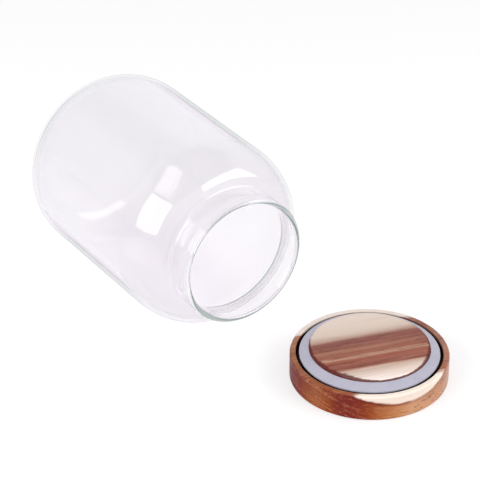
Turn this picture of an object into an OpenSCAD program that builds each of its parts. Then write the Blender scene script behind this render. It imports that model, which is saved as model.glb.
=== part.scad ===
// Glass canister with a turned wooden lid and a sloping silicone seal.
// Stored open: the jar lies on its side with its axis along +X and its mouth at +X,
// and the lid lies upside down on the same surface, ahead of the mouth and to its left.

/* [Jar body] */
// Outer diameter of the glass body
jar_d = 142; // [130:1:160]
// Length from the base to the top of the shoulder, where the neck starts
body_len = 182; // [150:1:240]
// Thickness of the glass in the wall, the shoulder and the neck
wall = 2.4; // [2:0.1:3]
// Thickness of the glass in the base
base_t = 3.6; // [3:0.1:5]
// How far the base's rounded edge reaches in from the side
base_round_r = 23; // [15:1:26]
// How far the base's rounded edge reaches up the side
base_round_h = 32; // [20:1:40]
// Radius of the shallow dimple under the base
dimple_r = 36; // [20:1:38]
// Depth of the dimple under the base
dimple_h = 1.2; // [0.5:0.1:2]

/* [Neck and rim] */
// Outer radius of the neck
neck_r = 48.5; // [47:0.1:49]
// Length of the neck from the shoulder to the rim
neck_len = 22.2; // [18:0.1:30]
// How far the rounded shoulder reaches down the side
shoulder_h = 35; // [25:1:45]
// Radius of the inside corner where the neck leaves the shoulder
neck_fillet = 2.5; // [1.5:0.1:3]
// Outer radius of the rolled bead at the rim
rim_r = 48.8; // [48.5:0.1:49.5]
// Inner radius of the rolled bead at the rim
mouth_r = 44.9; // [44.5:0.1:45.5]
// Length of the straight land inside the rolled bead
rim_land = 2; // [1:0.1:4]

/* [Lid] */
// Outer diameter of the wooden lid
lid_d = 113.6; // [111:0.2:120]
// Height of the lid's outer ring
lid_h = 19.5; // [18:0.1:24]
// Inner radius of the outer ring
ring_inner_r = 52.5; // [51.5:0.1:52.8]
// Radius of the raised boss that drops into the mouth
boss_r = 43.2; // [42:0.1:43.3]
// Height of the boss's face above the seal's inner edge
boss_rise = 2; // [1.5:0.1:4]
// Radius of the ledge that the seal lies on
ledge_r = 47.6; // [46:0.1:48.5]
// Depth of the channel between the ledge and the outer ring
channel_depth = 7.5; // [4:0.5:10]
// Radius of the lid's outer edges
lid_edge = 1.3; // [0.5:0.1:2]

/* [Seal] */
// Outer radius of the silicone seal
seal_r = 50.1; // [49.6:0.1:51]
// Thickness of the seal at its outer edge
seal_t = 2; // [1.5:0.1:3]
// How far the seal's face slopes up from its outer edge to the boss
seal_slope_h = 3; // [2:0.1:3.5]
// How far the seal's outer edge stands above the lid's outer ring
seal_proud = 0.4; // [0:0.1:1.5]
// Depth of the groove in the boss that holds the seal
groove_depth = 1.5; // [1:0.1:2]
// Free space left round the seal's inner bead
seal_gap = 0.05; // [0.02:0.01:0.1]

/* [Placing] */
// Distance from the rim to the lid's centre, along the jar's axis
lid_ahead = 80.6; // [80:0.1:140]
// Distance from the jar's axis to the lid's centre, sideways
lid_aside = 53.3; // [0:0.1:80]

/* [Hidden] */
$fn = 128;

jar_r = jar_d / 2;
lid_r = lid_d / 2;
shoulder_r = jar_r - neck_r - neck_fillet;
rim_x = body_len + neck_len;
bead_r = (rim_r - mouth_r) / 2;
bead_back = rim_x - bead_r - rim_land;
neck_bore_r = neck_r - wall;
bead_taper = 3;

small_round = 0.6;
seal_edge_z = lid_h + seal_proud;
seal_top_z = seal_edge_z + seal_slope_h;
seal_slope = atan(seal_slope_h / (seal_r - small_round - boss_r));
boss_face = seal_top_z + boss_rise;
ledge_z = seal_edge_z - seal_t;
groove_margin = seal_t / 5;
groove_low = ledge_z + groove_margin;
groove_top = ledge_z + seal_t - groove_margin;

// The origin is the middle of the bottom of the box around the whole object
shift_x = -(rim_x + lid_ahead + lid_r) / 2;
shift_y = (jar_r - lid_aside - lid_r) / 2;

// Degrees left out of an arc where it would meet its neighbour in a sliver
MEET_WIDE = 15;
MEET_NARROW = 5;
ARC_STEPS = 6;
EDGE_STEPS = 3;
LONG_ARC_STEPS = 14;
DIMPLE_STEPS = 6;

// Points along part of an ellipse round [r, h], from angle a to angle b
function arc(r, h, size_r, size_h, a, b, steps) =
    [for (i = [0:steps])
        let (t = a + (b - a) * i / steps)
        [r + size_r * cos(t), h + size_h * sin(t)]];

// Points along the dimple at height h, from its centre to its edge or back
function dimple(h, outward) =
    [for (i = [0:DIMPLE_STEPS])
        let (r = dimple_r * (outward ? i : DIMPLE_STEPS - i) / DIMPLE_STEPS)
        [r, h + dimple_h / 2 * (1 + cos(180 * r / dimple_r))]];

// Outside of the glass, from the middle of the base to the rim
function jar_outside() = concat(
    dimple(0, true),
    arc(jar_r - base_round_r, base_round_h, base_round_r, base_round_h, -90, 0, LONG_ARC_STEPS),
    arc(jar_r - shoulder_r, body_len - shoulder_h, shoulder_r, shoulder_h, 0, 90, LONG_ARC_STEPS),
    arc(neck_r + neck_fillet, body_len + neck_fillet, neck_fillet, neck_fillet,
        -90 - MEET_WIDE, -180, ARC_STEPS),
    [[neck_r, bead_back - bead_taper], [rim_r, bead_back]],
    arc(rim_r - bead_r, rim_x - bead_r, bead_r, bead_r, 0, 90, ARC_STEPS)
);

// Inside of the glass, from the rim back to the middle of the base
function jar_inside() = concat(
    arc(mouth_r + bead_r, rim_x - bead_r, bead_r, bead_r, 90 + MEET_WIDE, 180, ARC_STEPS),
    [[mouth_r, bead_back], [neck_bore_r, bead_back - bead_taper]],
    arc(neck_r + neck_fillet, body_len + neck_fillet, neck_fillet + wall, neck_fillet + wall,
        180, 270, ARC_STEPS),
    arc(jar_r - shoulder_r, body_len - shoulder_h, shoulder_r - wall, shoulder_h - wall,
        90 - MEET_NARROW, 0, LONG_ARC_STEPS),
    arc(jar_r - base_round_r, base_round_h, base_round_r - wall, base_round_h - base_t,
        0, -90, LONG_ARC_STEPS),
    dimple(base_t, false)
);

// Lid profile, from the middle of its outer face round to the middle of the boss
function lid_profile() = concat(
    [[0, 0]],
    arc(lid_r - lid_edge, lid_edge, lid_edge, lid_edge, -90, 0, EDGE_STEPS),
    arc(lid_r - lid_edge, lid_h - lid_edge, lid_edge, lid_edge, 0, 90, EDGE_STEPS),
    arc(ring_inner_r + small_round, lid_h - small_round, small_round, small_round,
        90, 180, EDGE_STEPS),
    [[ring_inner_r, ledge_z - channel_depth], [ledge_r, ledge_z - channel_depth],
     [ledge_r, ledge_z], [boss_r, ledge_z], [boss_r, groove_low],
     [boss_r - groove_depth, groove_low],
     [boss_r - groove_depth, groove_top], [boss_r, groove_top]],
    arc(boss_r - lid_edge, boss_face - lid_edge, lid_edge, lid_edge, 0, 90, EDGE_STEPS),
    [[0, boss_face]]
);

// Seal profile: a wedge that slopes down from the boss, and an inner bead in the boss's groove
function seal_profile() = concat(
    [[boss_r + seal_gap, ledge_z]],
    arc(seal_r - small_round, ledge_z + small_round, small_round, small_round,
        -90, 0, EDGE_STEPS),
    arc(seal_r - small_round, seal_edge_z - small_round, small_round, small_round,
        0, 90 - seal_slope, EDGE_STEPS),
    [[boss_r + seal_gap, seal_top_z],
     [boss_r + seal_gap, groove_top - seal_gap],
     [boss_r - groove_depth + seal_gap, groove_top - seal_gap],
     [boss_r - groove_depth + seal_gap, groove_low + seal_gap],
     [boss_r + seal_gap, groove_low + seal_gap]]
);

// Lays a standing jar part on its side, resting on the surface
module lying() {
    translate([shift_x, shift_y, jar_r]) rotate([0, 90, 0]) children();
}

// Puts a lid part where the open lid lies
module beside_mouth() {
    translate([shift_x + rim_x + lid_ahead, shift_y + lid_aside, 0]) children();
}

module glass_jar() {
    color([0.86, 0.88, 0.92, 0.35])
        lying() rotate_extrude() polygon(concat(jar_outside(), jar_inside()));
}

module wooden_lid() {
    color([0.58, 0.33, 0.22])
        beside_mouth() rotate_extrude() polygon(lid_profile());
}

module silicone_seal() {
    color([0.74, 0.75, 0.84])
        beside_mouth() rotate_extrude() polygon(seal_profile());
}

glass_jar();
wooden_lid();
silicone_seal();
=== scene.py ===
"""Looks of the lidded glass canister: the jar on its side, its wooden lid upside down beside the mouth."""

import math

import bpy
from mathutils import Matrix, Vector, noise


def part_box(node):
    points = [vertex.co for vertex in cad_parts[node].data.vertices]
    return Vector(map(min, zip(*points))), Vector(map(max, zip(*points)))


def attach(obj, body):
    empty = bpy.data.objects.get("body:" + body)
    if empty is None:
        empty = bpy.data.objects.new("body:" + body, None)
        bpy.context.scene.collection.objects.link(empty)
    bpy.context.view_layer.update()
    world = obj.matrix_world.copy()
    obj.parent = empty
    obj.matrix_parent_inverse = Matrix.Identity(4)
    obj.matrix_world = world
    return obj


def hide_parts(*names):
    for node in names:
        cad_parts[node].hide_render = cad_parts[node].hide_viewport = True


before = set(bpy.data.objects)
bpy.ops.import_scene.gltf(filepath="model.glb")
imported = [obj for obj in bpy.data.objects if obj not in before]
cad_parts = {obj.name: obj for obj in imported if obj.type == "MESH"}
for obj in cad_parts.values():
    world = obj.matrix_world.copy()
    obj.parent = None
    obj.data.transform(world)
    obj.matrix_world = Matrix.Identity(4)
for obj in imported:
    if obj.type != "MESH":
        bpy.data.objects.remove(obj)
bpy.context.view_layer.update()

MM = 0.001

# ---------------------------------------------------------------- sizes from the frame
jar_low, jar_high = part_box("glass_jar")
lid_low, lid_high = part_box("wooden_lid")
seal_low, seal_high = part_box("silicone_seal")

JAR_LENGTH = jar_high.x - jar_low.x
JAR_RADIUS = (jar_high.z - jar_low.z) / 2
JAR_AXIS_Y = (jar_low.y + jar_high.y) / 2
JAR_AXIS_Z = (jar_low.z + jar_high.z) / 2
LID_RADIUS = (lid_high.x - lid_low.x) / 2
LID_CENTRE = Vector(((lid_low.x + lid_high.x) / 2, (lid_low.y + lid_high.y) / 2, 0))
BOSS_FACE = lid_high.z
SEAL_RADIUS = (seal_high.x - seal_low.x) / 2
SEAL_TOP = seal_high.z
LEDGE = seal_low.z

# ---------------------------------------------------------------- shape of the glass
WALL = 2.4 * MM
BASE_THICK = 3.6 * MM
BASE_ROUND_R, BASE_ROUND_H = 23 * MM, 32 * MM
DIMPLE_R, DIMPLE_H = 36 * MM, 1.2 * MM
NECK_R = 48.5 * MM
NECK_LENGTH = 22.2 * MM
SHOULDER_H = 35 * MM
NECK_FILLET = 2.5 * MM
RIM_R, MOUTH_R = 48.8 * MM, 44.9 * MM
RIM_LAND = 2 * MM
JAR_SEGMENTS = 288
JAR_WOBBLE = 0.08 * MM
GLASS_IOR = 1.473
# Layer Weight's facing: where light starts to pass unbent, and where the outline's tint
# starts and is full
UNBENT_FROM = 0.74
OUTLINE_FROM, OUTLINE_FULL = 0.80, 0.92

# ---------------------------------------------------------------- shape of the lid and seal
LID_HEIGHT = 19.5 * MM
RING_INNER_R = 52.5 * MM
BOSS_R = 43.2 * MM
LEDGE_R = 47.6 * MM
CHANNEL_DEPTH = 7.5 * MM
LID_EDGE = 1.3 * MM
GROOVE_DEPTH = 1.5 * MM
SEAL_T = 2 * MM
SEAL_EDGE = LEDGE + SEAL_T
GROOVE_LOW, GROOVE_TOP = LEDGE + SEAL_T / 5, LEDGE + SEAL_T * 4 / 5
SMALL_ROUND = 0.6 * MM
LID_SEGMENTS = 256
SEAL_SEGMENTS = 224
SEAL_SLOPE = math.degrees(math.atan((SEAL_TOP - SEAL_EDGE) / (SEAL_RADIUS - SMALL_ROUND - BOSS_R)))

# ---------------------------------------------------------------- camera
CAMERA_AZIMUTH, CAMERA_ELEVATION = 56.5, 31.0
CAMERA_DISTANCE = 1.754
CAMERA_LENS = 167.2
CAMERA_TARGET = Vector((-0.0922, 0.0598, 0.0))


def towards(azimuth, elevation):
    """Unit vector from the object to a viewer or lamp at these angles, in degrees."""
    a, e = math.radians(azimuth), math.radians(elevation)
    return Vector((math.sin(a) * math.cos(e), -math.cos(a) * math.cos(e), math.sin(e)))


def aim(obj, position, target):
    """Puts a camera or lamp at position, looking at target."""
    obj.location = position
    obj.rotation_mode = "QUATERNION"
    obj.rotation_quaternion = (target - position).to_track_quat("-Z", "Y")


def add_camera():
    data = bpy.data.cameras.new("camera")
    data.sensor_width = 36
    data.lens = CAMERA_LENS
    data.clip_start, data.clip_end = 0.05, 50
    cam = bpy.data.objects.new("camera", data)
    bpy.context.collection.objects.link(cam)
    back = towards(CAMERA_AZIMUTH, CAMERA_ELEVATION)
    aim(cam, CAMERA_TARGET + back * CAMERA_DISTANCE, CAMERA_TARGET)
    bpy.context.scene.camera = cam


# ---------------------------------------------------------------- mesh helpers
def arc(r, h, size_r, size_h, start, end, steps):
    """Points (radius, height) along part of an ellipse round (r, h)."""
    points = []
    for i in range(steps + 1):
        t = math.radians(start + (end - start) * i / steps)
        points.append((r + size_r * math.cos(t), h + size_h * math.sin(t)))
    return points


def line(a, b, steps):
    """Points from a to b, without b."""
    return [
        (a[0] + (b[0] - a[0]) * i / steps, a[1] + (b[1] - a[1]) * i / steps)
        for i in range(steps)
    ]


def lathe(name, profile, place, segments, closed=False, wobble=None):
    """Turns a profile of (radius, height) into a mesh.

    place maps (x, y, height) of the upright shape to the row frame. closed joins the last
    point to the first, for a ring. wobble(radius, height, angle) gives a small change of both.
    """
    vertices, rings = [], []
    for r, h in profile:
        if r < 1e-7:
            rings.append([len(vertices)])
            vertices.append(place(0, 0, h))
            continue
        rings.append(list(range(len(vertices), len(vertices) + segments)))
        for s in range(segments):
            t = 2 * math.pi * s / segments
            dr, dh = wobble(r, h, t) if wobble else (0, 0)
            vertices.append(place((r + dr) * math.cos(t), (r + dr) * math.sin(t), h + dh))
    pairs = list(zip(rings[:-1], rings[1:])) + ([(rings[-1], rings[0])] if closed else [])
    faces = []
    for low, high in pairs:
        for s in range(segments):
            t = (s + 1) % segments
            if len(low) == 1:
                faces.append((low[0], high[t], high[s]))
            elif len(high) == 1:
                faces.append((low[s], low[t], high[0]))
            else:
                faces.append((low[s], low[t], high[t], high[s]))
    mesh = bpy.data.meshes.new(name)
    mesh.from_pydata(vertices, [], faces)
    mesh.validate()
    mesh.shade_smooth()
    obj = bpy.data.objects.new(name, mesh)
    bpy.context.collection.objects.link(obj)
    return obj


def lying(x, y, h):
    """Lays an upright shape down along +X, with its base at the jar's base."""
    return (jar_low.x + h, JAR_AXIS_Y + y, JAR_AXIS_Z - x)


def beside_mouth(x, y, h):
    """Puts an upright shape where the lid lies."""
    return (LID_CENTRE.x + x, LID_CENTRE.y + y, h)


# ---------------------------------------------------------------- material helpers
class Nodes:
    """A material's node tree, with short calls for adding nodes."""

    def __init__(self, name):
        self.material = bpy.data.materials.new(name)
        self.material.use_nodes = True
        self.tree = self.material.node_tree
        self.tree.nodes.clear()
        self.output = self.tree.nodes.new("ShaderNodeOutputMaterial")

    def set(self, socket, value):
        if isinstance(value, bpy.types.NodeSocket):
            self.tree.links.new(value, socket)
        else:
            socket.default_value = value

    def add(self, kind, *values, **named):
        """Adds a node. values go to its inputs in order, named ones by name."""
        node = self.tree.nodes.new("ShaderNode" + kind)
        for socket, value in zip(node.inputs, values):
            if value is not None:
                self.set(socket, value)
        for key, value in named.items():
            if key.startswith("p_"):
                setattr(node, key[2:], value)
            else:
                self.set(node.inputs[key.replace("_", " ")], value)
        return node

    def math(self, operation, a, b=0.0):
        node = self.tree.nodes.new("ShaderNodeMath")
        node.operation = operation
        for socket, value in zip(node.inputs, (a, b)):
            self.set(socket, value)
        return node.outputs[0]

    def mix(self, factor, a, b):
        """Mixes two colours."""
        node = self.tree.nodes.new("ShaderNodeMix")
        node.data_type = "RGBA"
        self.set(node.inputs["Factor"], factor)
        self.set(node.inputs["A"], a)
        self.set(node.inputs["B"], b)
        return node.outputs["Result"]

    def map(self, value, low, high, to_low=0.0, to_high=1.0, smooth=False):
        """Maps low to high onto to_low to to_high, and holds the ends."""
        node = self.tree.nodes.new("ShaderNodeMapRange")
        node.interpolation_type = "SMOOTHSTEP" if smooth else "LINEAR"
        for socket, each in zip(node.inputs, (value, low, high, to_low, to_high)):
            self.set(socket, each)
        return node.outputs["Result"]

    def noise(self, vector, scale, detail=2.0, roughness=0.5):
        node = self.tree.nodes.new("ShaderNodeTexNoise")
        self.set(node.inputs["Vector"], vector)
        node.inputs["Scale"].default_value = scale
        node.inputs["Detail"].default_value = detail
        node.inputs["Roughness"].default_value = roughness
        return node.outputs["Fac"]

    def ramp(self, value, stops):
        """A colour ramp with stops of (position, colour)."""
        node = self.tree.nodes.new("ShaderNodeValToRGB")
        self.set(node.inputs["Fac"], value)
        elements = node.color_ramp.elements
        while len(elements) < len(stops):
            elements.new(0.5)
        for element, (position, colour) in zip(elements, stops):
            element.position = position
            element.color = colour
        return node.outputs["Color"]

    def stretch(self, vector, x, y, z):
        """The vector with each part multiplied."""
        node = self.tree.nodes.new("ShaderNodeVectorMath")
        node.operation = "MULTIPLY"
        self.set(node.inputs[0], vector)
        node.inputs[1].default_value = (x, y, z)
        return node.outputs[0]


def rgb(red, green, blue, light=1.0, shine=0.0):
    """Linear values of a surface that looks like this, 0 to 255, under this much light.

    shine is the light the surface reflects without colouring it.
    """
    def linear(v):
        v /= 255
        v = v / 12.92 if v <= 0.04045 else ((v + 0.055) / 1.055) ** 2.4
        return max(v - shine, 0.002) / light
    return (linear(red), linear(green), linear(blue), 1.0)


def on_top(red, green, blue):
    """A colour as it looks on the lid's upper faces."""
    return rgb(red, green, blue, 1.22, 0.034)


def on_side(red, green, blue):
    """A colour as it looks on the lid's upright side."""
    return rgb(red, green, blue, 1.33, 0.035)


# ---------------------------------------------------------------- glass
def glass_material():
    n = Nodes("clear_glass")
    where = n.add("TexCoord").outputs["Object"]
    wave = n.noise(where, 22, 1.5)
    bump = n.add("Bump", Strength=0.04, Distance=0.6 * MM, Height=wave)
    smear = n.noise(where, 60, 4, 0.6)
    glass = n.add("BsdfPrincipled")
    # a tint matched to the photograph, a little darker round the base and towards the neck;
    # the modelled wall has one thickness, so this stands for no shape
    # the darker ends of this ramp, round the base and towards the neck, are painted shade
    lengthways = n.map(n.add("SeparateXYZ", where).outputs["X"], jar_low.x, jar_high.x)
    n.set(glass.inputs["Base Color"], n.ramp(lengthways, [
        (0.0, (0.920, 0.905, 0.925, 1)), (0.2, (0.948, 0.932, 0.956, 1)),
        (0.58, (0.948, 0.932, 0.956, 1)), (0.86, (0.905, 0.888, 0.905, 1)),
        (1.0, (0.925, 0.91, 0.925, 1)),
    ]))
    n.set(glass.inputs["Roughness"], n.map(smear, 0.3, 0.8, 0.0, 0.02))
    n.set(glass.inputs["IOR"], GLASS_IOR)
    n.set(glass.inputs["Transmission Weight"], 1.0)
    n.set(glass.inputs["Normal"], bump.outputs[0])
    # lamps shine through the thin wall, and light caught in its edges for long gets out
    path = n.add("LightPath")
    passing = n.math("MAXIMUM", path.outputs["Is Shadow Ray"], path.outputs["Is Diffuse Ray"])
    caught = n.math("GREATER_THAN", path.outputs["Glossy Depth"], 2.5)
    # not real optics: where the wall is seen nearly edge-on, light goes in unbent under a thin
    # grey tint, and light that went in unbent comes out unbent. The exported model loses this
    facing = n.add("LayerWeight", 0.5).outputs["Facing"]
    unbent = n.math("LESS_THAN", path.outputs["Transmission Depth"], 0.5)
    grazing = n.math("MULTIPLY", unbent, n.math("GREATER_THAN", facing, UNBENT_FROM))
    inside = n.math("MODULO", path.outputs["Transparent Depth"], 2.0)
    # the grey tint at the edge-on wall is a painted dark outline, painted shade; light caught long in the
    # edges comes out darker, more painted shade
    outline = n.map(facing, OUTLINE_FROM, OUTLINE_FULL, smooth=True)
    tint = n.mix(outline, (0.995, 0.972, 0.995, 1), (0.87, 0.88, 0.88, 1))
    clear = n.add("BsdfTransparent", n.mix(caught, tint, (0.74, 0.78, 0.77, 1)))
    straight = n.math("MAXIMUM", n.math("MAXIMUM", passing, caught),
                      n.math("MAXIMUM", grazing, inside))
    mixed = n.add("MixShader", straight, glass.outputs[0], clear.outputs[0])
    n.set(n.output.inputs["Surface"], mixed.outputs[0])
    thick = n.add("VolumeAbsorption", Color=(0.77, 0.82, 0.79, 1), Density=15.0)
    n.set(n.output.inputs["Volume"], thick.outputs[0])
    return n.material


def jar_profile():
    """Outside from the middle of the base to the rim, then the inside back."""
    body = JAR_LENGTH - NECK_LENGTH
    shoulder = JAR_RADIUS - NECK_R - NECK_FILLET
    bead = (RIM_R - MOUTH_R) / 2
    bead_back = JAR_LENGTH - bead - RIM_LAND
    taper = 3 * MM
    bore = NECK_R - WALL

    def dimple(r):
        return DIMPLE_H / 2 * (1 + math.cos(math.pi * r / DIMPLE_R))

    rings = [DIMPLE_R * i / 14 for i in range(15)]
    outside = [(r, dimple(r)) for r in rings]
    outside += line((DIMPLE_R, 0), (JAR_RADIUS - BASE_ROUND_R, 0), 5)[1:]
    outside += arc(JAR_RADIUS - BASE_ROUND_R, BASE_ROUND_H, BASE_ROUND_R, BASE_ROUND_H, -90, 0, 36)
    outside += line((JAR_RADIUS, BASE_ROUND_H), (JAR_RADIUS, body - SHOULDER_H), 12)[1:]
    outside += arc(JAR_RADIUS - shoulder, body - SHOULDER_H, shoulder, SHOULDER_H, 0, 90, 40)
    outside += arc(NECK_R + NECK_FILLET, body + NECK_FILLET, NECK_FILLET, NECK_FILLET,
                   -98, -180, 12)
    outside += line((NECK_R, body + NECK_FILLET), (NECK_R, bead_back - taper), 5)[1:]
    outside += [(NECK_R, bead_back - taper), (NECK_R + 0.1 * MM, bead_back - taper / 2)]
    outside += [(RIM_R, bead_back)]
    outside += arc(RIM_R - bead, JAR_LENGTH - bead, bead, bead, 0, 180, 28)
    inside = [(MOUTH_R, bead_back), (MOUTH_R + 0.5 * MM, bead_back - taper / 2)]
    inside += line((bore, bead_back - taper), (bore, body + NECK_FILLET), 5)
    inside += arc(NECK_R + NECK_FILLET, body + NECK_FILLET, NECK_FILLET + WALL, NECK_FILLET + WALL,
                  180, 270, 16)
    inside += arc(JAR_RADIUS - shoulder, body - SHOULDER_H, shoulder - WALL, SHOULDER_H - WALL,
                  87, 0, 38)
    inside += line((JAR_RADIUS - WALL, body - SHOULDER_H), (JAR_RADIUS - WALL, BASE_ROUND_H), 12)[1:]
    inside += arc(JAR_RADIUS - BASE_ROUND_R, BASE_ROUND_H, BASE_ROUND_R - WALL,
                  BASE_ROUND_H - BASE_THICK, 0, -90, 36)
    inside += line((JAR_RADIUS - BASE_ROUND_R, BASE_THICK), (DIMPLE_R, BASE_THICK), 5)[1:]
    inside += [(r, BASE_THICK + dimple(r)) for r in reversed(rings)]
    return outside + inside


def add_jar():
    def wobble(r, h, t):
        """Hand-blown unevenness of the glass, none of it near the fire-polished rim."""
        p = Vector((math.cos(t) * r, math.sin(t) * r, h)) * 28
        fade = min(1.0, max(0.0, (JAR_LENGTH - h - 6 * MM) / (12 * MM)))
        return noise.noise(p) * JAR_WOBBLE * fade, 0

    jar = lathe("glass_jar_wall", jar_profile(), lying, JAR_SEGMENTS, wobble=wobble)
    jar.data.materials.append(glass_material())
    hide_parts("glass_jar")
    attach(jar, "jar")


# ---------------------------------------------------------------- wood
GRAIN_ANGLE = 73.5
# Growth rings as (across, height, radius) of the ring where the dark heartwood ends, each
# solved to pass through edges of the heartwood measured in the photograph
BOSS_RING = (6.6 * MM, -67 * MM, 93.86 * MM)
SKIRT_RING = (4.7 * MM, -69.3 * MM, 97.03 * MM)
SKIRT_TURN = 0.14
# The bands' ramp runs this far to each side of the grain's middle line
BAND_SPAN = 56 * MM

# The three lists of colours below were picked from averages of the photograph's colours that a
# measuring script printed, and then adjusted against renders.
# Colours of the bands across the face, as (place across the grain in mm, colour)
FACE_BANDS = [
    (-42, on_top(232, 217, 206)),
    (-27, on_top(226, 208, 195)),
    (-18.5, on_top(218, 199, 184)),
    (-15.5, on_top(196, 170, 155)),
    (-12.5, on_top(180, 142, 127)),
    (-10.5, on_top(150, 104, 94)),
    (-7, on_top(141, 89, 82)),
    (-3.5, on_top(156, 105, 95)),
    (-1.6, on_top(148, 98, 84)),
    (1.6, on_top(168, 118, 102)),
    (4.6, on_top(152, 99, 84)),
    (6.5, on_top(166, 110, 92)),
    (8.1, on_top(148, 94, 77)),
    (10.0, on_top(194, 150, 128)),
    (11.2, on_top(202, 160, 136)),
    (12.4, on_top(170, 116, 98)),
    (14.8, on_top(154, 94, 78)),
    (17.4, on_top(166, 106, 92)),
    (20.6, on_top(148, 95, 84)),
    (22, on_top(146, 90, 77)),
    (24, on_top(162, 110, 94)),
    (26.2, on_top(200, 166, 148)),
    (29, on_top(212, 188, 174)),
    (33, on_top(228, 207, 193)),
    (38, on_top(246, 229, 218)),
    (43, on_top(250, 238, 230)),
]
# Colours of the heartwood round the side, as (degrees round from across the grain, colour). On the
# left, from about -125 to -20 degrees, the darkest and most orange tones also hold painted shade
# and painted orange reflected light
SIDE_TONES = [
    (-180, on_side(200, 150, 128)),
    (-125, on_side(140, 76, 40)),
    (-100, on_side(116, 46, 10)),
    (-90, on_side(112, 44, 10)),
    (-79, on_side(136, 60, 20)),
    (-71, on_side(150, 82, 48)),
    (-61, on_side(172, 106, 74)),
    (-51, on_side(156, 84, 48)),
    (-41, on_side(132, 62, 24)),
    (-30, on_side(138, 64, 24)),
    (-20, on_side(156, 80, 36)),
    (-10, on_side(186, 116, 76)),
    (2, on_side(204, 142, 100)),
    (12, on_side(216, 164, 126)),
    (40, on_side(208, 154, 122)),
    (58, on_side(216, 174, 154)),
    (90, on_side(196, 146, 128)),
    (180, on_side(200, 150, 128)),
]
# Colours of the heartwood on top of the outer ring, in the same way; they hold a painted sheen
# too, which makes them paler and greyer than the side below
RIM_TONES = [
    (-180, on_top(190, 150, 130)),
    (-105, on_top(170, 118, 92)),
    (-85, on_top(152, 98, 74)),
    (-66, on_top(154, 97, 72)),
    (-36, on_top(160, 98, 72)),
    (0, on_top(168, 108, 82)),
    (52, on_top(174, 116, 94)),
    (85, on_top(182, 136, 119)),
    (115, on_top(162, 113, 98)),
    (180, on_top(190, 150, 130)),
]
# How far the boss's dark edge reaches inwards in mm, by the same angle, judged from the
# photograph
# the boss's dark edge is partly darker end grain and partly painted shade
EDGE_WIDTHS = [
    (-180, 0.4), (-120, 0.6), (-96, 2.0), (-70, 2.6), (-46, 3.4), (-34, 2.4), (-22, 0.7),
    (-12, 0.35), (24, 0.35), (36, 1.0), (50, 1.9), (80, 1.9), (95, 1.2), (130, 0.4), (180, 0.4),
]


def ring_distance(n, across, height, ring):
    """How far outside the heartwood's last ring, and the distance from the rings' middle."""
    side = n.math("SUBTRACT", across, ring[0])
    rise = n.math("SUBTRACT", height, ring[1])
    radius = n.math("SQRT", n.math("ADD", n.math("MULTIPLY", side, side),
                                   n.math("MULTIPLY", rise, rise)))
    return n.math("SUBTRACT", radius, ring[2]), side, radius


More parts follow.
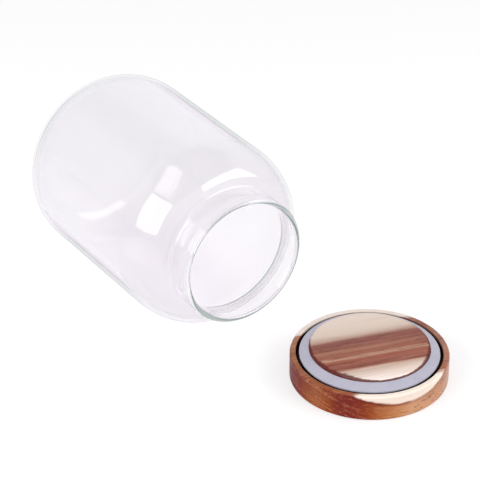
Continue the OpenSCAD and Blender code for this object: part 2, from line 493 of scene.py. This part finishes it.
def wood_material():
    n = Nodes("banded_hardwood")
    where = n.add("TexCoord").outputs["Object"]
    local = n.add("VectorMath", where, tuple(LID_CENTRE), p_operation="SUBTRACT").outputs[0]
    turned = n.add("Mapping", local, Rotation=(0, 0, -math.radians(GRAIN_ANGLE))).outputs[0]
    parts = n.add("SeparateXYZ", turned)
    along, height = parts.outputs["X"], parts.outputs["Z"]
    flat = n.add("CombineXYZ", along, parts.outputs["Y"]).outputs[0]
    radius = n.add("VectorMath", flat, p_operation="LENGTH").outputs["Value"]
    outer = n.math("MULTIPLY", n.map(radius, 50 * MM, 52 * MM), n.map(height, 0, 0.6 * MM))
    true_across = n.math("MULTIPLY", parts.outputs["Y"], -1.0)
    round_lid = n.map(n.math("ARCTAN2", along, true_across), -math.pi, math.pi)

    def around(stops):
        return n.ramp(round_lid, [((degrees + 180) / 360, value) for degrees, value in stops])

    # slow warps, so that no band is ruler straight, and streaks of three widths
    drift = n.noise(n.stretch(turned, 10, 26, 26), 1, 1)
    wave = n.noise(n.stretch(turned, 40, 150, 150), 1, 2)
    warp = n.math("ADD", n.map(drift, 0.2, 0.8, -0.9 * MM, 0.9 * MM),
                  n.map(wave, 0.2, 0.8, -0.7 * MM, 0.7 * MM))
    across = n.math("ADD", true_across, warp)
    broad = n.noise(n.stretch(turned, 10, 210, 210), 1, 2, 0.6)
    streak = n.noise(n.stretch(turned, 20, 620, 620), 1, 3, 0.65)
    fleck = n.noise(n.stretch(turned, 150, 700, 700), 1, 3, 0.6)
    fibre = n.noise(n.stretch(turned, 70, 2600, 2600), 1, 2, 0.6)
    pores = n.map(n.noise(n.stretch(turned, 120, 1500, 1500), 1, 1), 0.64, 0.72, smooth=True)

    # the boss's bands follow growth rings, laid out by where a ring meets the boss's face
    fray = n.map(streak, 0.3, 0.7, -1.4 * MM, 1.4 * MM)
    beyond, side, ring = ring_distance(n, across, height, BOSS_RING)
    face_rise = BOSS_FACE - BOSS_RING[1]
    reach = n.math("SUBTRACT", n.math("MULTIPLY", ring, ring), face_rise ** 2)
    reach = n.math("SQRT", n.math("MAXIMUM", reach, 0.0))
    band = n.math("ADD", n.math("MULTIPLY", reach, n.math("SIGN", side)), BOSS_RING[0])
    # the lid's outer face, far below, is heartwood all over, with broader bands
    below = n.map(height, 8 * MM, 6 * MM)
    broader = n.math("ADD", n.math("MULTIPLY", across, 0.24), 3 * MM)
    band = n.math("ADD", n.math("MULTIPLY", broader, below),
                  n.math("MULTIPLY", band, n.math("SUBTRACT", 1.0, below)))
    place = n.math("ADD", band, n.math("MULTIPLY", fray, 0.7))
    stops = [((mm * MM + BAND_SPAN) / (2 * BAND_SPAN), colour) for mm, colour in FACE_BANDS]
    bands = n.ramp(n.map(place, -BAND_SPAN, BAND_SPAN), stops)
    boss_heart = n.map(n.math("ADD", beyond, n.math("MULTIPLY", fray, 0.4)), -0.6 * MM, 0.4 * MM,
                       1, 0, smooth=True)

    # the outer ring has its own growth rings, which leave a pale lens on its side
    calm = n.math("ADD", true_across, n.math("MULTIPLY", warp, 0.35))
    turn = n.map(true_across, -30 * MM, 30 * MM, 0, SKIRT_TURN)
    slanted = n.math("ADD", calm, n.math("MULTIPLY", along, turn))
    beyond, side, skirt_ring = ring_distance(n, slanted, height, SKIRT_RING)
    frayed = n.math("ADD", beyond, n.math("MULTIPLY", fray, 0.3))
    skirt_heart = n.map(frayed, -1.0 * MM, 0.8 * MM, 1, 0, smooth=True)
    tones = around(SIDE_TONES)
    line_dark = n.math("MULTIPLY", n.map(frayed, -2.4 * MM, -0.8 * MM, smooth=True),
                       n.map(round_lid, 0.47, 0.56, 0.75, 0.35))
    tones = n.mix(line_dark, tones, on_side(140, 62, 26))
    tones = n.mix(n.map(height, 5 * MM, 18 * MM, 0, 0.28), tones, on_side(104, 44, 22))
    # the top of the outer ring takes RIM_TONES: heartwood colour paled by a painted sheen
    top = n.map(height, LID_HEIGHT - 0.7 * MM, LID_HEIGHT - 0.1 * MM)
    tones = n.mix(top, tones, around(RIM_TONES))
    # the sapwood is paler on the near side than on the far side
    near = n.map(true_across, -30 * MM, 30 * MM)
    sap = n.mix(near, on_top(240, 227, 216), on_top(250, 236, 222))
    sap = n.mix(n.map(height, LID_HEIGHT - 2 * MM, LID_HEIGHT - 0.2 * MM),
                on_side(249, 231, 217), sap)
    ring_colour = n.mix(skirt_heart, sap, tones)

    heart = n.add("Mix", p_data_type="FLOAT")
    n.set(heart.inputs[0], outer)
    n.set(heart.inputs[2], boss_heart)
    n.set(heart.inputs[3], skirt_heart)
    heart = heart.outputs[0]
    colour = n.mix(outer, bands, ring_colour)

    # streaks and ring lines darken and lighten the wood, more in the heartwood
    lines_at = n.add("CombineXYZ", n.math("MULTIPLY", along, 9.0),
                     n.math("MULTIPLY", skirt_ring, 620.0))
    lines = n.noise(lines_at.outputs[0], 1, 3, 0.6)
    mixed = n.math("ADD", n.math("MULTIPLY", broad, 0.2), n.math("MULTIPLY", streak, 0.32))
    mixed = n.math("ADD", mixed, n.math("MULTIPLY", lines, 0.33))
    mixed = n.math("ADD", mixed, n.math("MULTIPLY", fleck, 0.15))
    dark_share = n.math("MULTIPLY", n.map(mixed, 0.485, 0.38), n.map(heart, 0, 1, 0.2, 0.8))
    pale_share = n.math("MULTIPLY", n.map(mixed, 0.52, 0.68), n.map(heart, 0, 1, 0.25, 0.5))
    colour = n.mix(dark_share, colour, n.mix(heart, on_top(196, 166, 144), on_top(96, 50, 28)))
    colour = n.mix(pale_share, colour, n.mix(heart, on_top(254, 246, 238), on_top(216, 166, 136)))
    pore_share = n.math("MULTIPLY", pores, n.map(heart, 0, 1, 0.12, 0.5))
    colour = n.mix(pore_share, colour, n.mix(heart, on_top(186, 152, 124), on_top(74, 34, 26)))

    # the turned edge of the boss is unevenly darker, as in the photograph
    # the darkening is partly the darker end grain of the rounded edge and partly painted shade on the
    # boss's side
    width = n.math("MULTIPLY", around([(at, (w, w, w, 1)) for at, w in EDGE_WIDTHS]), MM)
    width = n.math("MULTIPLY", width, n.map(fleck, 0.3, 0.7, 0.4, 1.6))
    inwards = n.math("SUBTRACT", BOSS_R, radius)
    end_grain_and_painted_shade = n.math("SUBTRACT", 1.15, n.math("DIVIDE", inwards, n.math("ADD", width, 0.01 * MM)))
    end_grain_and_painted_shade = n.math("MULTIPLY", n.map(end_grain_and_painted_shade, 0, 0.8, 0, 0.9, smooth=True),
                    n.map(radius, BOSS_R + 0.6 * MM, BOSS_R + 0.3 * MM))
    end_grain_and_painted_shade = n.math("MULTIPLY", end_grain_and_painted_shade, n.map(height, LEDGE, SEAL_TOP - 1 * MM))
    colour = n.mix(end_grain_and_painted_shade, colour, on_top(98, 42, 34))
    # painted shade: the channel's walls and floor are darkened almost to black, most deep down
    deep = n.add("Attribute", p_attribute_name="channel_depth").outputs["Fac"]
    colour = n.mix(deep, colour, rgb(30, 15, 12))

    shader = n.add("BsdfPrincipled")
    n.set(shader.inputs["Base Color"], colour)
    n.set(shader.inputs["Roughness"], n.map(n.math("ADD", streak, fibre), 0.7, 1.3, 0.40, 0.60))
    n.set(shader.inputs["Specular IOR Level"], 0.2)
    grain = n.math("SUBTRACT", n.math("ADD", n.math("MULTIPLY", fibre, 0.5),
                                      n.math("MULTIPLY", streak, 0.6)), pores)
    bump = n.add("Bump", Strength=0.35, Distance=0.06 * MM, Height=grain)
    n.set(shader.inputs["Normal"], bump.outputs[0])
    n.set(n.output.inputs["Surface"], shader.outputs[0])
    return n.material


def lid_profile():
    """From the middle of the outer face round the ring, the channel and the boss."""
    face = [(LID_RADIUS * i / 24, 0) for i in range(23)]
    low = LEDGE - CHANNEL_DEPTH
    deep = 0.8 * MM
    ring = arc(LID_RADIUS - LID_EDGE, LID_EDGE, LID_EDGE, LID_EDGE, -90, 0, 10)
    ring += line((LID_RADIUS, LID_EDGE), (LID_RADIUS, LID_HEIGHT - LID_EDGE), 16)[1:]
    ring += arc(LID_RADIUS - LID_EDGE, LID_HEIGHT - LID_EDGE, LID_EDGE, LID_EDGE, 0, 90, 10)
    ring += arc(RING_INNER_R + SMALL_ROUND, LID_HEIGHT - SMALL_ROUND, SMALL_ROUND, SMALL_ROUND,
                90, 180, 8)
    channel = line((RING_INNER_R, LID_HEIGHT - 1.5 * MM), (RING_INNER_R, low + deep), 6)
    channel += arc(RING_INNER_R - deep, low + deep, deep, deep, 0, -90, 6)
    channel += arc(LEDGE_R + deep, low + deep, deep, deep, -90, -180, 6)
    channel += arc(LEDGE_R - 0.2 * MM, LEDGE - 0.2 * MM, 0.2 * MM, 0.2 * MM, 0, 90, 4)
    boss = [(BOSS_R, LEDGE), (BOSS_R, GROOVE_LOW), (BOSS_R - GROOVE_DEPTH, GROOVE_LOW),
            (BOSS_R - GROOVE_DEPTH, GROOVE_TOP), (BOSS_R, GROOVE_TOP)]
    boss += line((BOSS_R, GROOVE_TOP + 0.1 * MM), (BOSS_R, BOSS_FACE - LID_EDGE), 8)
    boss += arc(BOSS_R - LID_EDGE, BOSS_FACE - LID_EDGE, LID_EDGE, LID_EDGE, 0, 90, 10)
    top = [((BOSS_R - LID_EDGE) * i / 24, BOSS_FACE) for i in reversed(range(24))]
    return face + ring + channel + boss + top


def add_lid():
    def wobble(r, h, t):
        """Small dents and flats where the turned edges have been handled."""
        edge = r > LID_RADIUS - 1.5 * LID_EDGE and h > LID_HEIGHT - 1.5 * LID_EDGE
        edge = edge or (BOSS_R - 1.5 * LID_EDGE < r and h > BOSS_FACE - 1.5 * LID_EDGE)
        if not edge:
            return 0, 0
        p = Vector((math.cos(t), math.sin(t), h * 30)) * 9
        dent = max(0.0, noise.noise(p) - 0.12) * 0.35 * MM
        return -dent, -dent * 0.6

    lid = lathe("turned_lid_block", lid_profile(), beside_mouth, LID_SEGMENTS, wobble=wobble)
    # how strongly painted shade darkens each point in the channel
    depth = lid.data.attributes.new("channel_depth", "FLOAT", "POINT")
    for v, deep in zip(lid.data.vertices, depth.data):
        r = math.hypot(v.co.x - LID_CENTRE.x, v.co.y - LID_CENTRE.y)
        h = v.co.z
        if 1 * MM < h < LID_HEIGHT - 1.8 * MM and r < RING_INNER_R + 0.1 * MM:
            deep.value = 0.9
        elif h < LID_HEIGHT - 1.3 * MM and r < RING_INNER_R + 0.3 * MM and h > 1 * MM:
            deep.value = 0.6
        if r < BOSS_R + 0.1 * MM and h > GROOVE_TOP:
            deep.value = 0
    lid.data.set_sharp_from_angle(angle=math.radians(50))
    lid.data.materials.append(wood_material())
    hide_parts("wooden_lid")
    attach(lid, "lid")


# ---------------------------------------------------------------- silicone
def silicone_material():
    n = Nodes("clear_silicone")
    where = n.add("TexCoord").outputs["Object"]
    cloud = n.noise(where, 70, 3, 0.55)
    skin = n.noise(where, 2600, 2, 0.5)
    dust = n.map(n.noise(where, 900, 2, 0.5), 0.68, 0.8, smooth=True)
    colour = n.mix(cloud, on_top(181, 178, 192), on_top(197, 196, 209))
    colour = n.mix(n.math("MULTIPLY", dust, 0.4), colour, on_top(224, 221, 229))
    shader = n.add("BsdfPrincipled")
    n.set(shader.inputs["Base Color"], colour)
    n.set(shader.inputs["Roughness"], n.map(cloud, 0.25, 0.75, 0.34, 0.5))
    n.set(shader.inputs["IOR"], 1.41)
    n.set(shader.inputs["Specular IOR Level"], 0.4)
    n.set(shader.inputs["Subsurface Weight"], 0.35)
    n.set(shader.inputs["Subsurface Radius"], (1.0, 1.0, 1.2))
    n.set(shader.inputs["Subsurface Scale"], 1.6 * MM)
    bump = n.add("Bump", Strength=0.2, Distance=0.03 * MM, Height=skin)
    n.set(shader.inputs["Normal"], bump.outputs[0])
    n.set(n.output.inputs["Surface"], shader.outputs[0])
    return n.material


def seal_profile():
    """A wedge sloping down from the boss, with a fine parting line and an inner bead."""
    gap = 0.05 * MM
    low, top = GROOVE_LOW + gap, GROOVE_TOP - gap
    inner, bead = BOSS_R + gap, BOSS_R - GROOVE_DEPTH + gap
    middle = (LEDGE + SEAL_EDGE) / 2
    lip = 0.25 * MM
    points = line((inner, LEDGE), (SEAL_RADIUS - SMALL_ROUND, LEDGE), 6)
    points += arc(SEAL_RADIUS - SMALL_ROUND, LEDGE + SMALL_ROUND, SMALL_ROUND, SMALL_ROUND,
                  -90, 0, 6)
    points += [(SEAL_RADIUS, middle - 0.12 * MM), (SEAL_RADIUS + 0.06 * MM, middle),
               (SEAL_RADIUS, middle + 0.12 * MM)]
    points += arc(SEAL_RADIUS - SMALL_ROUND, SEAL_EDGE - SMALL_ROUND, SMALL_ROUND, SMALL_ROUND,
                  0, 90 - SEAL_SLOPE, 8)
    points += line(points[-1], (inner + lip, SEAL_TOP - lip / 2), 8)[1:]
    points += arc(inner + lip, SEAL_TOP - lip, lip, lip, 90 - SEAL_SLOPE, 180, 5)
    points += [(inner, top), (bead, top), (bead, low), (inner, low)]
    return points


def add_seal():
    seal = lathe("seal_ring", seal_profile(), beside_mouth, SEAL_SEGMENTS, closed=True)
    seal.data.set_sharp_from_angle(angle=math.radians(50))
    seal.data.materials.append(silicone_material())
    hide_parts("silicone_seal")
    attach(seal, "lid")


# ---------------------------------------------------------------- studio
FLOOR_REACH = 12
FLOOR_BELOW = 0.2 * MM
FLOOR_GLOW = 0.52
# Backdrop brightness as (height from the horizon to straight up, grey)
SKY = [(0, 0.84), (0.1, 1), (0.56, 1), (0.7, 0.55)]
SKY_STRENGTH = 1.04
# Softboxes as (name, azimuth, elevation, distance, width, height, power)
SOFTBOXES = [
    ("softbox_left", 4, 27, 1.15, 1.25, 0.8, 9),
    ("softbox_right", 124, 28, 1.15, 1.0, 0.75, 7),
]


def add_floor():
    size = FLOOR_REACH
    mesh = bpy.data.meshes.new("studio_floor")
    corners = [(-size, -size, 0), (size, -size, 0), (size, size, 0), (-size, size, 0)]
    mesh.from_pydata(corners, [], [(0, 1, 2, 3)])
    floor = bpy.data.objects.new("studio_floor", mesh)
    floor.location.z = -FLOOR_BELOW
    bpy.context.collection.objects.link(floor)
    n = Nodes("white_sweep")
    shader = n.add("BsdfPrincipled")
    n.set(shader.inputs["Base Color"], (0.45, 0.45, 0.45, 1))
    n.set(shader.inputs["Roughness"], 0.9)
    n.set(shader.inputs["Specular IOR Level"], 0.0)
    n.set(shader.inputs["Emission Color"], (1, 1, 1, 1))
    n.set(shader.inputs["Emission Strength"], FLOOR_GLOW)
    n.set(n.output.inputs["Surface"], shader.outputs[0])
    mesh.materials.append(n.material)


def add_softbox(name, azimuth, elevation, distance, width, height, power):
    data = bpy.data.lights.new(name, "AREA")
    data.shape = "RECTANGLE"
    data.size, data.size_y = width, height
    data.energy = power
    lamp = bpy.data.objects.new(name, data)
    lamp.visible_camera = False
    bpy.context.collection.objects.link(lamp)
    target = Vector((0, 0, JAR_AXIS_Z))
    aim(lamp, target + towards(azimuth, elevation) * distance, target)


def add_world():
    """White backdrop all round that meets the floor's tone, and a dimmer ceiling above it."""
    world = bpy.data.worlds.new("studio")
    world.use_nodes = True
    bpy.context.scene.world = world
    tree = world.node_tree
    tree.nodes.clear()
    where = tree.nodes.new("ShaderNodeTexCoord")
    parts = tree.nodes.new("ShaderNodeSeparateXYZ")
    ramp = tree.nodes.new("ShaderNodeValToRGB")
    light = tree.nodes.new("ShaderNodeBackground")
    out = tree.nodes.new("ShaderNodeOutputWorld")
    tree.links.new(where.outputs["Generated"], parts.inputs[0])
    tree.links.new(parts.outputs["Z"], ramp.inputs["Fac"])
    tree.links.new(ramp.outputs["Color"], light.inputs["Color"])
    tree.links.new(light.outputs[0], out.inputs["Surface"])
    elements = ramp.color_ramp.elements
    elements.new(0.1)
    elements.new(0.56)
    for element, (position, grey) in zip(elements, SKY):
        element.position, element.color = position, (grey, grey, grey * 1.02, 1)
    light.inputs["Strength"].default_value = SKY_STRENGTH


bpy.context.scene.view_settings.view_transform = "Standard"
add_camera()
add_world()
add_floor()
for softbox in SOFTBOXES:
    add_softbox(*softbox)
add_jar()
add_lid()
add_seal()

bpy.context.view_layer.update()
